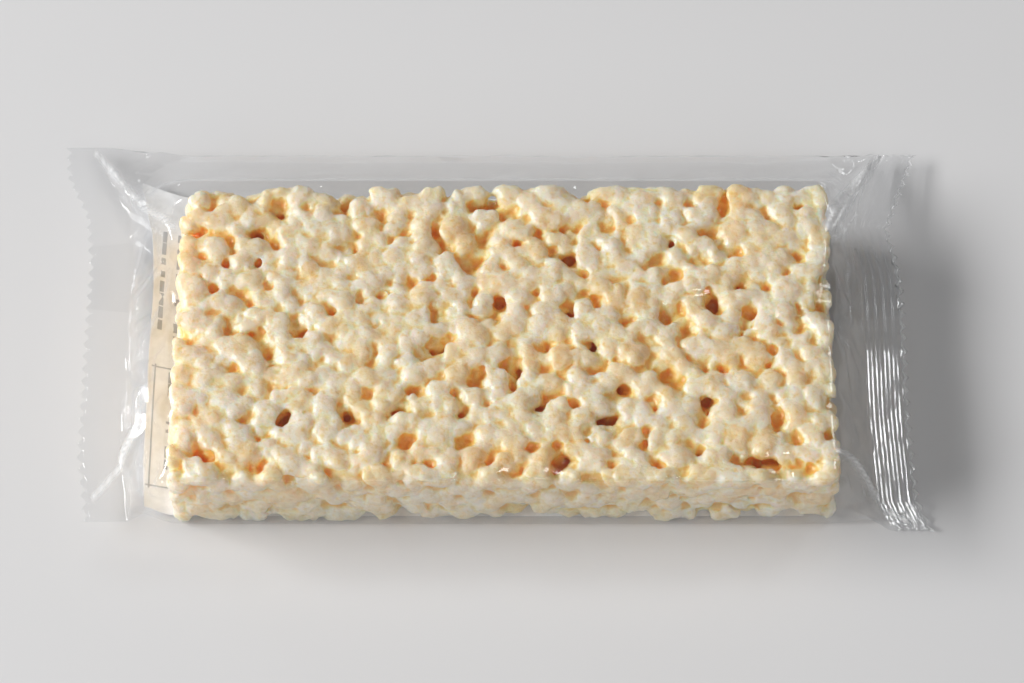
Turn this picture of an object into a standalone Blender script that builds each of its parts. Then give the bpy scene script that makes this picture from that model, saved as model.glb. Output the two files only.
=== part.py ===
"""A bar of crisped rice set in marshmallow, sealed in a clear flow wrap. Metres, +Z up.

The long side of the bar lies along X, and the pack lies on its underside at Z = 0. Sizes are
given from the middle of the bar, and the finished objects are then moved so that the middle of
the pack's footprint is at the origin.

The bar is a block with its grains fused on. The wrap is a solid with the outer form of the
sealed bag, cut round the bar: a front skin, a floor, the slack behind the bar, and the two
gathered ends with their crimped, saw-cut seals. It is open over the bar's top, where the real
film lies on the grains.
"""

import math
import random

import bmesh
import bpy
from mathutils import Euler, Vector

# The bar
BAR_LENGTH = 0.095
BAR_WIDTH = 0.048
BAR_TOP = 0.0141
BAR_CORNER = 0.0032
BAR_SHOULDER = 0.0016
TOP_RELIEF = 0.0017
SIDE_RELIEF = 0.0009
CORNER_STEPS = 3

# One puffed grain, as it shows once it is fused in
GRAIN_LENGTH = 0.0074
GRAIN_WIDTH = 0.0053
GRAIN_DEPTH = 0.0042
GRAIN_UNEVEN = 0.09
GRAIN_SPREAD = 0.15
GRAIN_LEAN = 0.35
GRAIN_PITCH_ALONG = 0.0054
GRAIN_PITCH_ACROSS = 0.0044
GRAIN_SCATTER = 0.26
GRAIN_MISSING = 0.06
GRAIN_SINK = 0.0004
TOP_EMBEDDING = 0.42
SIDE_EMBEDDING = 0.36
SIDE_ROWS = 2
FIRST_ROW = 0.6
SIDE_LIFT = 0.12
SIDE_TURN = 0.5
GRAIN_SEED = 11

# The wrap
FILM_WALL = 0.0005
FLOOR_WALL = 0.00045
CLEARANCE = 0.0004
UNDER_BAR = 0.0003
WRAP_TOP = 0.0145
FOLD_RADIUS = 0.0010
SLACK_REACH = 0.0362
SLACK_HEIGHT = 0.0032
SLACK_FOOT = 0.0290

# The saw-cut edge of each end seal as (X, Y), seen from above and from front to back
LEFT_EDGE = ((-0.0600, -0.0250), (-0.0615, -0.0150), (-0.0615, 0.0165), (-0.0625, 0.0250),
             (-0.0660, 0.0330), (-0.0665, 0.0385))
RIGHT_EDGE = ((0.0617, -0.0255), (0.0598, -0.0210), (0.0591, -0.0080), (0.0590, 0.0150),
              (0.0576, 0.0230), (0.0625, 0.0370))
SEAL_WIDTH = 0.0062
SEAL_HEIGHT = 0.0046
SEAL_DROOP = 0.0030
SEAL_THICKNESS = 0.0008
CRIMP_COUNT = 5
CRIMP_DEPTH = 0.00022
TOOTH_COUNT = 28
TOOTH_DEPTH = 0.0009

# How finely the wrap is divided
COLUMNS = 14
SHOULDER_ROWS = 2


def clear_scene():
    for old in list(bpy.data.objects):
        bpy.data.objects.remove(old, do_unlink=True)


def finish_material(name, colour, roughness, alpha=1.0):
    material = bpy.data.materials.new(name)
    material.use_nodes = True
    shader = material.node_tree.nodes["Principled BSDF"]
    shader.inputs["Base Color"].default_value = (*colour, 1.0)
    shader.inputs["Roughness"].default_value = roughness
    shader.inputs["Metallic"].default_value = 0.0
    shader.inputs["Alpha"].default_value = alpha
    return material


def add_object(name, bm, material, collection=None):
    mesh = bpy.data.meshes.new(name)
    bm.normal_update()
    bm.to_mesh(mesh)
    bm.free()
    mesh.materials.append(material)
    made = bpy.data.objects.new(name, mesh)
    (collection or bpy.context.scene.collection).objects.link(made)
    return made


def apply_modifiers(target):
    """Swaps the object's mesh for its evaluated one, so that no modifier is left."""
    bpy.context.view_layer.update()
    evaluated = target.evaluated_get(bpy.context.evaluated_depsgraph_get())
    baked = bpy.data.meshes.new_from_object(evaluated)
    target.modifiers.clear()
    target.data = baked


def bar_floor():
    return FLOOR_WALL + UNDER_BAR


def rounded_reach(point, half_length, half_width, corner):
    """Moves a point in plan back onto a rectangle with round corners, if it lies outside it."""
    x = max(-half_length, min(half_length, point.x))
    y = max(-half_width, min(half_width, point.y))
    past_x = abs(x) - (half_length - corner)
    past_y = abs(y) - (half_width - corner)
    if past_x > 0 and past_y > 0:
        past = math.hypot(past_x, past_y)
        if past > corner:
            x = math.copysign(half_length - corner + past_x * corner / past, x)
            y = math.copysign(half_width - corner + past_y * corner / past, y)
    return x, y


def round_cornered_block(half_length, half_width, bottom, top):
    """A block centred on the origin in plan, with its four upright edges rounded."""
    bm = bmesh.new()
    bmesh.ops.create_cube(bm, size=2.0)
    for vert in bm.verts:
        height = top if vert.co.z > 0 else bottom
        vert.co = Vector((vert.co.x * half_length, vert.co.y * half_width, height))
    upright = [e for e in bm.edges if e.verts[0].co.z != e.verts[1].co.z]
    bmesh.ops.bevel(
        bm, geom=upright, offset=BAR_CORNER, segments=CORNER_STEPS, profile=0.5, affect="EDGES"
    )
    return bm


def bar_core():
    """The block of marshmallow and grains that shows at the bottom of the pits."""
    top = BAR_TOP - TOP_RELIEF
    bm = round_cornered_block(BAR_LENGTH / 2 - SIDE_RELIEF, BAR_WIDTH / 2 - SIDE_RELIEF, bar_floor(), top)
    rim = [e for e in bm.edges if min(v.co.z for v in e.verts) > top / 2]
    bmesh.ops.bevel(bm, geom=rim, offset=BAR_SHOULDER, segments=1, profile=0.5, affect="EDGES")
    return bm


def grain(rng, place, spin, face_tilt):
    """One grain: a squashed, uneven ball, pressed flat where it would pass the bar's outer form."""
    bm = bmesh.new()
    bmesh.ops.create_icosphere(bm, subdivisions=1, radius=0.5)
    half_length, half_width, top = grain_reach(rng)
    size = rng.uniform(1 - GRAIN_SPREAD, 1 + GRAIN_SPREAD)
    stoutness = rng.uniform(1 - GRAIN_SPREAD, 1 + GRAIN_SPREAD)
    scale = Vector((GRAIN_LENGTH, GRAIN_WIDTH * stoutness, GRAIN_DEPTH)) * size
    lean_x, lean_y = (rng.uniform(-GRAIN_LEAN, GRAIN_LEAN) for _ in range(2))
    lean = Euler((lean_x, lean_y, spin)).to_matrix()
    for vert in bm.verts:
        bump = 1 + rng.uniform(-GRAIN_UNEVEN, GRAIN_UNEVEN)
        local = lean @ Vector((c * s * bump for c, s in zip(vert.co, scale)))
        point = place + face_tilt @ local
        point.x, point.y = rounded_reach(point, half_length, half_width, BAR_CORNER)
        point.z = max(bar_floor() + GRAIN_SINK, min(top, point.z))
        vert.co = point
    return bm


def grain_reach(rng):
    """How far out one grain may stand: the bar's half length, half width and top, less a little."""
    outer = (BAR_LENGTH / 2, BAR_WIDTH / 2, BAR_TOP)
    return [size - rng.uniform(0.0, GRAIN_SINK) for size in outer]


def spread(count, pitch, row):
    """Places along a row, every other row shifted by half a pitch."""
    shift = 0.25 if row % 2 else -0.25
    return [(i - (count - 1) / 2 + shift) * pitch for i in range(count)]


def top_grains(rng):
    """Grains over the bar's top."""
    made = []
    along = round(BAR_LENGTH / GRAIN_PITCH_ALONG)
    across = round(BAR_WIDTH / GRAIN_PITCH_ACROSS)
    height = BAR_TOP - GRAIN_DEPTH * TOP_EMBEDDING
    upright = Euler((0, 0, 0)).to_matrix()
    for row in range(across):
        y = (row - (across - 1) / 2) * GRAIN_PITCH_ACROSS
        for x in spread(along, GRAIN_PITCH_ALONG, row):
            offset_x = rng.uniform(-1, 1) * GRAIN_SCATTER * GRAIN_PITCH_ALONG
            offset_y = rng.uniform(-1, 1) * GRAIN_SCATTER * GRAIN_PITCH_ACROSS
            spin = rng.uniform(0, math.pi)
            if rng.random() < GRAIN_MISSING:
                continue
            place = Vector((x + offset_x, y + offset_y, height))
            made.append(grain(rng, place, spin, upright))
    return made


def side_grains(rng):
    """Grains round the four cut sides, in level rows."""
    made = []
    inset = GRAIN_DEPTH * SIDE_EMBEDDING
    half_length, half_width = BAR_LENGTH / 2 - inset, BAR_WIDTH / 2 - inset
    row_height = (BAR_TOP - bar_floor()) / (SIDE_ROWS + 1)
    walls = (
        (Vector((1, 0)), Vector((0, -half_width)), half_length),
        (Vector((1, 0)), Vector((0, half_width)), half_length),
        (Vector((0, 1)), Vector((-half_length, 0)), half_width),
        (Vector((0, 1)), Vector((half_length, 0)), half_width),
    )
    for along, middle, half in walls:
        tilt = Euler((math.pi / 2, 0, math.atan2(along.y, along.x))).to_matrix()
        count = round(2 * half / GRAIN_PITCH_ALONG)
        for row in range(SIDE_ROWS):
            level = bar_floor() + (row + FIRST_ROW) * row_height
            for run in spread(count, GRAIN_PITCH_ALONG, row):
                drift = rng.uniform(-1, 1) * GRAIN_SCATTER * GRAIN_PITCH_ALONG
                spin = rng.gauss(0, SIDE_TURN)
                if rng.random() < GRAIN_MISSING:
                    continue
                spot = middle + along * (run + drift)
                lift = rng.uniform(-SIDE_LIFT, SIDE_LIFT) * row_height
                place = Vector((spot.x, spot.y, level + lift))
                made.append(grain(rng, place, spin, tilt))
    return made


def linked_verts(start):
    """Every vert of the shell that this one belongs to."""
    shell = {start}
    to_visit = [start]
    while to_visit:
        vert = to_visit.pop()
        for edge in vert.link_edges:
            other = edge.other_vert(vert)
            if other not in shell:
                shell.add(other)
                to_visit.append(other)
    return shell


def keep_outer_shell(target):
    """Drops loose scraps, and the walls of hollows that the grains have sealed."""
    bm = bmesh.new()
    bm.from_mesh(target.data)
    left = set(bm.verts)
    shells = []
    while left:
        shell = linked_verts(next(iter(left)))
        shells.append(shell)
        left -= shell
    outer = max(shells, key=len)
    bmesh.ops.delete(bm, geom=[v for v in bm.verts if v not in outer], context="VERTS")
    bm.to_mesh(target.data)
    bm.free()


def make_bar(material):
    rng = random.Random(GRAIN_SEED)
    bar = add_object("crispy_bar", bar_core(), material)
    loose = bpy.data.collections.new("loose_grains")
    bpy.context.scene.collection.children.link(loose)
    for bm in top_grains(rng) + side_grains(rng):
        add_object("grain", bm, material, loose)
    fuse = bar.modifiers.new("fuse_grains", "BOOLEAN")
    fuse.operation = "UNION"
    fuse.operand_type = "COLLECTION"
    fuse.collection = loose
    fuse.solver = "MANIFOLD"
    apply_modifiers(bar)
    keep_outer_shell(bar)
    for spent in list(loose.objects):
        bpy.data.objects.remove(spent, do_unlink=True)
    bpy.data.collections.remove(loose)
    return bar


def along_polyline(points, share):
    """The point at this share of a polyline's length."""
    lengths = [math.dist(a, b) for a, b in zip(points, points[1:])]
    left = share * sum(lengths)
    for (a, b), length in zip(zip(points, points[1:]), lengths):
        if left <= length:
            t = left / length
            return tuple(p + (q - p) * t for p, q in zip(a, b))
        left -= length
    return points[-1]


def bar_outline():
    """The film's section round the bar in (Y, Z): over the top and under the floor, front to back."""
    front = -(BAR_WIDTH / 2 + CLEARANCE + FILM_WALL)
    rear = BAR_WIDTH / 2 + CLEARANCE + FILM_WALL
    middle = WRAP_TOP / 2
    half_seal = SEAL_THICKNESS / 2
    over = [
        (front, middle + half_seal),
        (front, WRAP_TOP - FOLD_RADIUS),
        (front + FOLD_RADIUS, WRAP_TOP),
        (rear - FOLD_RADIUS, WRAP_TOP),
        (rear + FOLD_RADIUS, WRAP_TOP - FOLD_RADIUS),
        (SLACK_REACH, SLACK_HEIGHT + half_seal),
    ]
    under = [
        (front, middle - half_seal),
        (front, FOLD_RADIUS),
        (front + FOLD_RADIUS, 0.0),
        (SLACK_FOOT, 0.0),
        (SLACK_REACH, SLACK_HEIGHT - half_seal),
    ]
    return over, under


def column_shares(points):
    """Shares of a polyline's length: its own corners, filled in to the same number of columns."""
    lengths = [math.dist(a, b) for a, b in zip(points, points[1:])]
    total = sum(lengths)
    corners = [0.0]
    for length in lengths:
        corners.append(corners[-1] + length / total)
    while len(corners) < COLUMNS + 1:
        widest = max(range(len(corners) - 1), key=lambda i: corners[i + 1] - corners[i])
        corners.insert(widest + 1, (corners[widest] + corners[widest + 1]) / 2)
    return corners


def seal_line(share, side):
    """A point of the seal's inner edge, which droops towards both of the seal's corners."""
    x, y = along_polyline(RIGHT_EDGE if side > 0 else LEFT_EDGE, share)
    droop = SEAL_DROOP * (2 * share - 1) ** 2
    return Vector((x - side * SEAL_WIDTH, y, SEAL_HEIGHT - droop))


def end_ring(side, weight, over_shares, under_shares):
    """One ring of the gathered end, between the section round the bar and the flat seal."""
    over, under = bar_outline()
    shoulder_x = side * (BAR_LENGTH / 2 + CLEARANCE + FILM_WALL)
    rings = []
    for points, shares, face in ((over, over_shares, 1), (under, under_shares, -1)):
        row = []
        for share in shares:
            y, z = along_polyline(points, share)
            start = Vector((shoulder_x, y, z))
            end = seal_line(share, side)
            end.z += face * SEAL_THICKNESS / 2
            row.append(start.lerp(end, weight))
        rings.append(row)
    return rings


def seal_ring(side, step, over_shares, under_shares, teeth=False):
    """One ring of the flat seal. Its face rises and falls as ribs, and its last ring can be saw-cut."""
    steps = 2 * CRIMP_COUNT
    rib = CRIMP_DEPTH if step % 2 else -CRIMP_DEPTH
    rings = []
    for shares, face in ((over_shares, 1), (under_shares, -1)):
        row = []
        for i, share in enumerate(shares):
            point = seal_line(share, side)
            cut = TOOTH_DEPTH if teeth and i % 2 else 0.0
            point.x += side * (SEAL_WIDTH * step / steps - cut)
            point.z += rib + face * SEAL_THICKNESS / 2
            row.append(point)
        rings.append(row)
    return rings


def close_ring(bm, rings):
    """Verts of a ring: over the top front to back, then under the floor back to front."""
    over, under = rings
    return [bm.verts.new(p) for p in over] + [bm.verts.new(p) for p in reversed(under)]


def bridge(bm, first, second):
    """Faces between two rings of the same number of verts."""
    count = len(first)
    for i in range(count):
        j = (i + 1) % count
        bm.faces.new((first[i], first[j], second[j], second[i]))


def bridge_to_teeth(bm, coarse, fine, per_column):
    """Faces from a coarse ring to the saw-cut ring, which has several points for each column."""
    half = len(coarse) // 2
    fine_half = len(fine) // 2
    for start, fine_start in ((0, 0), (half, fine_half)):
        for i in range(half - 1):
            a, b = coarse[start + i], coarse[start + i + 1]
            run = fine[fine_start + i * per_column:fine_start + (i + 1) * per_column + 1]
            middle = per_column // 2
            for k in range(middle):
                bm.faces.new((a, run[k + 1], run[k]))
            bm.faces.new((a, b, run[middle]))
            for k in range(middle, per_column):
                bm.faces.new((b, run[k + 1], run[k]))
    for i, k in ((half - 1, fine_half - 1), (2 * half - 1, 2 * fine_half - 1)):
        bm.faces.new((coarse[i], coarse[(i + 1) % len(coarse)], fine[(k + 1) % len(fine)], fine[k]))


def cap_teeth(bm, fine):
    """The saw-cut edge itself, between the upper and the lower face."""
    half = len(fine) // 2
    for i in range(half - 1):
        bm.faces.new((fine[i], fine[i + 1], fine[-2 - i], fine[-1 - i]))


def wrap_shell():
    """The whole bag as one closed form, from the left saw-cut edge to the right one."""
    over, under = bar_outline()
    over_shares, under_shares = column_shares(over), column_shares(under)
    per_column = 2 * TOOTH_COUNT // COLUMNS
    fine_shares = [i / (COLUMNS * per_column) for i in range(COLUMNS * per_column + 1)]
    even_shares = [i / COLUMNS for i in range(COLUMNS + 1)]
    bm = bmesh.new()
    shoulders = []
    for side in (-1, 1):
        rings = [
            close_ring(bm, end_ring(side, k / (SHOULDER_ROWS + 1), over_shares, under_shares))
            for k in range(SHOULDER_ROWS + 1)
        ]
        shoulders.append(rings[0])
        rings += [
            close_ring(bm, seal_ring(side, step, even_shares, even_shares))
            for step in range(2 * CRIMP_COUNT)
        ]
        for first, second in zip(rings, rings[1:]):
            bridge(bm, first, second)
        edge = close_ring(bm, seal_ring(side, 2 * CRIMP_COUNT, fine_shares, fine_shares, True))
        bridge_to_teeth(bm, rings[-1], edge, per_column)
        cap_teeth(bm, edge)
    bridge(bm, shoulders[0], shoulders[1])
    bmesh.ops.recalc_face_normals(bm, faces=bm.faces)
    return bm


def bar_pocket():
    """The cutter that makes room for the bar. It reaches past the wrap's top, so that it opens it."""
    half_length = BAR_LENGTH / 2 + CLEARANCE
    half_width = BAR_WIDTH / 2 + CLEARANCE
    return round_cornered_block(half_length, half_width, FLOOR_WALL, 2 * WRAP_TOP)


def make_wrap(material):
    wrap = add_object("clear_wrap", wrap_shell(), material)
    cutter = add_object("bar_pocket", bar_pocket(), material)
    cutter.hide_render = True
    cutter.display_type = "WIRE"
    cut = wrap.modifiers.new("bar_pocket", "BOOLEAN")
    cut.operation = "DIFFERENCE"
    cut.object = cutter
    return wrap


def centre_footprint(objects):
    """Moves the objects together, so that the middle of the pack's footprint is at the origin."""
    edge = LEFT_EDGE + RIGHT_EDGE
    xs = [x for x, _ in edge]
    ys = [y for _, y in edge]
    for item in objects:
        item.location = (-(min(xs) + max(xs)) / 2, -(min(ys) + max(ys)) / 2, 0.0)


def main():
    clear_scene()
    make_bar(finish_material("crisped_rice", (0.80, 0.62, 0.38), 0.45))
    make_wrap(finish_material("clear_film", (0.86, 0.88, 0.89), 0.12, alpha=0.35))
    centre_footprint(bpy.context.scene.objects)


main()
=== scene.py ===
# %% [markdown]
# # A puffed rice bar in a clear flow wrap
#
# The real object is a snack: grains of puffed rice stirred into melted marshmallow, pressed flat
# in a tray, cut into a bar and sealed in a thin clear bag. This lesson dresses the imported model
# of it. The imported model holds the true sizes, and everything below is built round those sizes,
# in metres, with X along the bar, Y away from the viewer and Z up.

import bmesh
import bpy
import numpy as np
from math import cos, pi, radians, sin
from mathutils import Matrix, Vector, kdtree


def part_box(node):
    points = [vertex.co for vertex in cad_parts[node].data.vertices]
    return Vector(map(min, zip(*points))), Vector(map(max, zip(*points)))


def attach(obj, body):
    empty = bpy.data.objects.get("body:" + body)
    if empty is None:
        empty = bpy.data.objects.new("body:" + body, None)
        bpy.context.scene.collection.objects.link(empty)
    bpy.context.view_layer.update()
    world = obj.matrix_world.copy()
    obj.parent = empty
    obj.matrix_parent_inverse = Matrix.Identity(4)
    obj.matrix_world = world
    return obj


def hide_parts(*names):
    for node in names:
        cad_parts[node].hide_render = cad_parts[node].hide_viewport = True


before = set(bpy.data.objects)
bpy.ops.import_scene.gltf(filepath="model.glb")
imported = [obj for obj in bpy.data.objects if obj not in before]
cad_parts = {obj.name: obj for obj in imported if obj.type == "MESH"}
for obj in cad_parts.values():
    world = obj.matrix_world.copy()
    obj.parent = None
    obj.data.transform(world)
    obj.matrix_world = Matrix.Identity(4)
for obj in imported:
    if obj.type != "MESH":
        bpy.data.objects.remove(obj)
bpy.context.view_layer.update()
MM = 0.001
bar_low, bar_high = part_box("crispy_bar")
bar_middle = (bar_low + bar_high) / 2
for node in ("crispy_bar", "clear_wrap"):
    low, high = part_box(node)
    print(node, [round(v / MM, 1) for v in high - low], "mm")

# %% [markdown]
# ## Small helpers
#
# Both geometry and shader trees are built from nodes and links. One helper adds a node, sets its
# options and fills its inputs, where an input is either a plain value or another node's output.
# That keeps each tree readable from top to bottom, like a recipe.


# %% Helpers for all node trees
def fill(tree, node, inputs):
    """Fills a node's inputs with plain values or with other nodes' outputs."""
    for key, value in inputs.items():
        if isinstance(value, bpy.types.NodeSocket):
            tree.links.new(value, node.inputs[key])
        else:
            node.inputs[key].default_value = value


def place(tree, kind, inputs=None, **options):
    """Adds one node, sets its options and fills its inputs."""
    node = tree.nodes.new(kind)
    for option, value in options.items():
        setattr(node, option, value)
    fill(tree, node, inputs or {})
    return node


def result_of(tree, kind, inputs=None, **options):
    """Adds one node and returns its first output, which most steps go on with."""
    return place(tree, kind, inputs, **options).outputs[0]


def reckon(tree, operation, *numbers):
    return result_of(tree, "ShaderNodeMath", dict(enumerate(numbers)), operation=operation)


def product(tree, result, *factors):
    for factor in factors:
        result = reckon(tree, "MULTIPLY", result, factor)
    return result


def noise(tree, where, scale, detail, roughness=0.5):
    """A cloudy pattern with values round 0.5. The larger the scale, the finer the clouds."""
    inputs = {"Vector": where, "Scale": scale, "Detail": detail, "Roughness": roughness}
    return result_of(tree, "ShaderNodeTexNoise", inputs)


# %% Helpers for geometry trees
SOCKET_KINDS = {float: "Float", int: "Int", Vector: "Vector", bpy.types.Material: "Material"}


def new_geometry_tree(name, inputs):
    """An empty geometry tree with named inputs. Returns the tree and what its inputs give."""
    tree = bpy.data.node_groups.new(name, "GeometryNodeTree")
    for way in ("INPUT", "OUTPUT"):
        tree.interface.new_socket("Geometry", in_out=way, socket_type="NodeSocketGeometry")
    for label, value in inputs.items():
        kind = "NodeSocket" + SOCKET_KINDS[type(value)]
        tree.interface.new_socket(label, in_out="INPUT", socket_type=kind).default_value = value
    return tree, tree.nodes.new("NodeGroupInput").outputs


def stored(tree, geometry, name, value, kind="FLOAT", domain="POINT"):
    """Writes a value on the geometry, under a name."""
    inputs = {"Geometry": geometry, "Name": name, "Value": value}
    return result_of(tree, "GeometryNodeStoreNamedAttribute", inputs, data_type=kind, domain=domain)


def value_of(tree, name, kind="FLOAT"):
    """Reads a value that was written under a name."""
    return result_of(tree, "GeometryNodeInputNamedAttribute", {"Name": name}, data_type=kind)


def random_number(tree, low, high, seed):
    inputs = {2: low, 3: high, "Seed": seed}
    return place(tree, "FunctionNodeRandomValue", inputs, data_type="FLOAT").outputs[1]


def scaled(tree, vector, factor):
    return result_of(tree, "ShaderNodeVectorMath", {0: vector, "Scale": factor}, operation="SCALE")


def moved(tree, geometry, offset):
    return result_of(tree, "GeometryNodeSetPosition", {"Geometry": geometry, "Offset": offset})


def pushed_out(tree, geometry, height):
    """Moves every point along its own normal."""
    return moved(tree, geometry, scaled(tree, result_of(tree, "GeometryNodeInputNormal"), height))


def lumps_and_domes(tree, cloud, depth, cells, level, rise):
    """A height from two patterns: noise gives the lumps, and each Voronoi cell gets a round top."""
    dome = reckon(tree, "SUBTRACT", level, reckon(tree, "POWER", cells, 2.0))
    lump = reckon(tree, "SUBTRACT", cloud, 0.5)
    return reckon(tree, "MULTIPLY_ADD", lump, depth, product(tree, dome, rise))


def end_tree(tree, geometry, material):
    """Makes instances real, sets the material and gives the geometry out."""
    real = result_of(tree, "GeometryNodeRealizeInstances", {"Geometry": geometry})
    coated = result_of(tree, "GeometryNodeSetMaterial", {"Geometry": real, "Material": material})
    place(tree, "NodeGroupOutput", {0: coated})
    return tree


# %% Helpers for objects and meshes
def add_object(name, data):
    made = bpy.data.objects.new(name, data)
    bpy.context.scene.collection.objects.link(made)
    return made


def object_from(name, verts, faces=()):
    mesh = bpy.data.meshes.new(name)
    mesh.from_pydata([tuple(v) for v in verts], [], faces)
    return add_object(name, mesh)


def add_modifier(target, kind, **options):
    modifier = target.modifiers.new(kind.lower(), kind)
    for option, value in options.items():
        setattr(modifier, option, value)
    return modifier


def settle(target):
    """Swaps an object's mesh for its evaluated one, so that no modifier is left on it."""
    bpy.context.view_layer.update()
    evaluated = target.evaluated_get(bpy.context.evaluated_depsgraph_get())
    mesh = bpy.data.meshes.new_from_object(evaluated)
    target.modifiers.clear()
    target.data = mesh


def run_tree(name, tree, inputs, start=None):
    """Runs a geometry tree on an object and returns the object with the result as a plain mesh."""
    target = start or object_from(name, [])
    modifier = add_modifier(target, "NODES", node_group=tree)
    sockets = {s.name: s.identifier for s in tree.interface.items_tree if s.in_out == "INPUT"}
    for label, value in inputs.items():
        modifier[sockets[label]] = value
    settle(target)
    slots = target.data.materials
    for index in reversed([i for i, material in enumerate(slots) if material is None]):
        slots.pop(index=index)
    print(name, len(target.data.vertices), "verts")
    return target


def read_rows(things, field, width, kind=np.float32):
    """One field of all the points or edges of a mesh, with a row for each."""
    values = np.empty(len(things) * width, kind)
    things.foreach_get(field, values)
    return values.reshape(-1, width)


def read_points(mesh):
    return read_rows(mesh.vertices, "co", 3).astype(np.float64)


def read_edges(mesh):
    return read_rows(mesh.edges, "vertices", 2, np.int64).T


def read_value(mesh, name):
    return read_rows(mesh.attributes[name].data, "value", 1)[:, 0]


def write_points(mesh, points):
    mesh.vertices.foreach_set("co", points.astype(np.float32).ravel())
    mesh.update()


def write_value(mesh, name, values):
    layer = mesh.attributes.new(name, "FLOAT", "POINT")
    layer.data.foreach_set("value", values.astype(np.float32))


def count_triangles(target):
    return sum(len(p.vertices) - 2 for p in target.data.polygons)


# %% [markdown]
# ## The camera and the light
#
# The picture looks down on the pack at 61 degrees through a long lens, so its far edge is hardly
# narrower than its near one. A camera's distance and lens can be worked out from the four corners
# of a box of known size. The light is a wide low window on the left, which throws the shadow to
# the right, and a broad weak light from the front fills the shadows in. Film shows mainly by its
# glints, and a glint needs something bright in the one place that the film mirrors to the eye. So
# a small lamp hangs overhead for the ribs of the seal, and four small cards stand high up, behind,
# left and right, each for the creases or teeth that face it.


# %% Camera
def aim_at(holder, spot, goal):
    """Puts a camera or a light at a spot and turns it towards a goal."""
    holder.location = spot
    holder.rotation_euler = (Vector(goal) - Vector(spot)).to_track_quat("-Z", "Y").to_euler()


LOOK_DOWN = radians(61)
CAMERA_DISTANCE = 501 * MM
NEAREST_SEEN = 10 * MM
FOCAL_PIXELS = 3390
PICTURE_WIDTH = 1024
SENSOR = 36.0
AIM = Vector((bar_middle.x + 1.2 * MM, bar_middle.y + 5.85 * MM, 0.0))

lens = bpy.data.cameras.new("camera")
lens.sensor_width = SENSOR
lens.lens = SENSOR * FOCAL_PIXELS / PICTURE_WIDTH
lens.clip_start = NEAREST_SEEN
camera = add_object("camera", lens)
aim_at(camera, AIM + CAMERA_DISTANCE * Vector((0, -cos(LOOK_DOWN), sin(LOOK_DOWN))), AIM)
bpy.context.scene.camera = camera
print("lens", round(lens.lens, 1), "mm")

# %% Light
WHITE = (1.0, 1.0, 1.0)
# For each light: its name, its place, its two sides, its power and its colour
LIGHTS = (
    ("window", (-1.48, 0.02, 0.84), (1.35, 0.42), 39.6, (1.0, 0.99, 0.98)),
    ("front_fill", (0.05, -1.15, 1.00), (1.3, 0.9), 5.8, WHITE),
    ("lamp", (0.18, 0.225, 1.0), (0.07, 0.07), 0.25, WHITE),
    ("high_card", (0.66, 0.61, 0.92), (0.22, 0.22), 1.2, WHITE),
    ("back_card", (0.56, 1.06, 0.22), (0.3, 0.16), 0.6, WHITE),
    ("left_card", (-0.70, 0.90, 0.31), (0.2, 0.14), 0.5, WHITE),
    ("right_card", (1.15, -0.10, 0.25), (0.5, 0.2), 0.6, WHITE),
)

for name, spot, size, power, colour in LIGHTS:
    light = bpy.data.lights.new(name, "AREA")
    light.shape = "RECTANGLE"
    light.size, light.size_y = size
    light.energy = power
    light.color = colour
    aim_at(add_object(name, light), spot, (0, 0, 0))

world = bpy.data.worlds.new("pale_room")
world.use_nodes = True
room = {"Color": (0.97, 0.98, 1.0, 1.0), "Strength": 0.05}
fill(world.node_tree, world.node_tree.nodes["Background"], room)
bpy.context.scene.world = world
bpy.context.scene.view_settings.view_transform = "Standard"
print("lights", len(LIGHTS))

# %% [markdown]
# ## Helpers for materials
#
# Nothing real has quite the same gloss or tint all over. A slow cloudiness between a low and a high
# value gives that, and because the rice, the film and the inks all use it, it's made once, as a
# node group with named inputs. Every other pattern belongs to one material alone.


# %% Helpers for materials
def new_material(name):
    material = bpy.data.materials.new(name)
    material.use_nodes = True
    return material, material.node_tree, material.node_tree.nodes["Principled BSDF"]


def object_place(tree):
    return place(tree, "ShaderNodeTexCoord").outputs["Object"]


def measured(tree, name):
    """A value that was written on the mesh."""
    return place(tree, "ShaderNodeAttribute", attribute_name=name).outputs["Fac"]


def between(tree, value, low, high, new_low=0.0, new_high=1.0):
    """Brings a value from one range to another."""
    inputs = {0: value, 1: low, 2: high, 3: new_low, 4: new_high}
    return result_of(tree, "ShaderNodeMapRange", inputs)


def colour_ramp(tree, value, stops):
    ramp = place(tree, "ShaderNodeValToRGB", {"Fac": value})
    elements = ramp.color_ramp.elements
    while len(elements) < len(stops):
        elements.new(0.5)
    for element, (spot, colour) in zip(elements, stops):
        element.position = spot
        element.color = (*colour, 1.0)
    return ramp.outputs["Color"]


def mixed(tree, share, first, second, blend="MIX"):
    inputs = {0: share, 6: first, 7: second}
    return place(tree, "ShaderNodeMix", inputs, data_type="RGBA", blend_type=blend).outputs[2]


def bumps(tree, height, strength, distance):
    inputs = {"Height": height, "Strength": strength, "Distance": distance}
    return result_of(tree, "ShaderNodeBump", inputs)


# %% Cloudiness group
def cloudy_group():
    """A slow noise between a low and a high value, for gloss and tint that change over a surface."""
    group = bpy.data.node_groups.new("cloudy", "ShaderNodeTree")
    for label, value in (("Scale", 200.0), ("Low", 0.2), ("High", 0.5)):
        socket = group.interface.new_socket(label, in_out="INPUT", socket_type="NodeSocketFloat")
        socket.default_value = value
    group.interface.new_socket("Value", in_out="OUTPUT", socket_type="NodeSocketFloat")
    given = group.nodes.new("NodeGroupInput").outputs
    cloud = noise(group, object_place(group), given["Scale"], 2.0)
    value = between(group, cloud, 0.35, 0.65, given["Low"], given["High"])
    place(group, "NodeGroupOutput", {"Value": value})
    return group


CLOUDY = cloudy_group()


def cloudiness(tree, scale, low, high):
    inputs = {"Scale": scale, "Low": low, "High": high}
    return result_of(tree, "ShaderNodeGroup", inputs, node_tree=CLOUDY)


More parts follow.
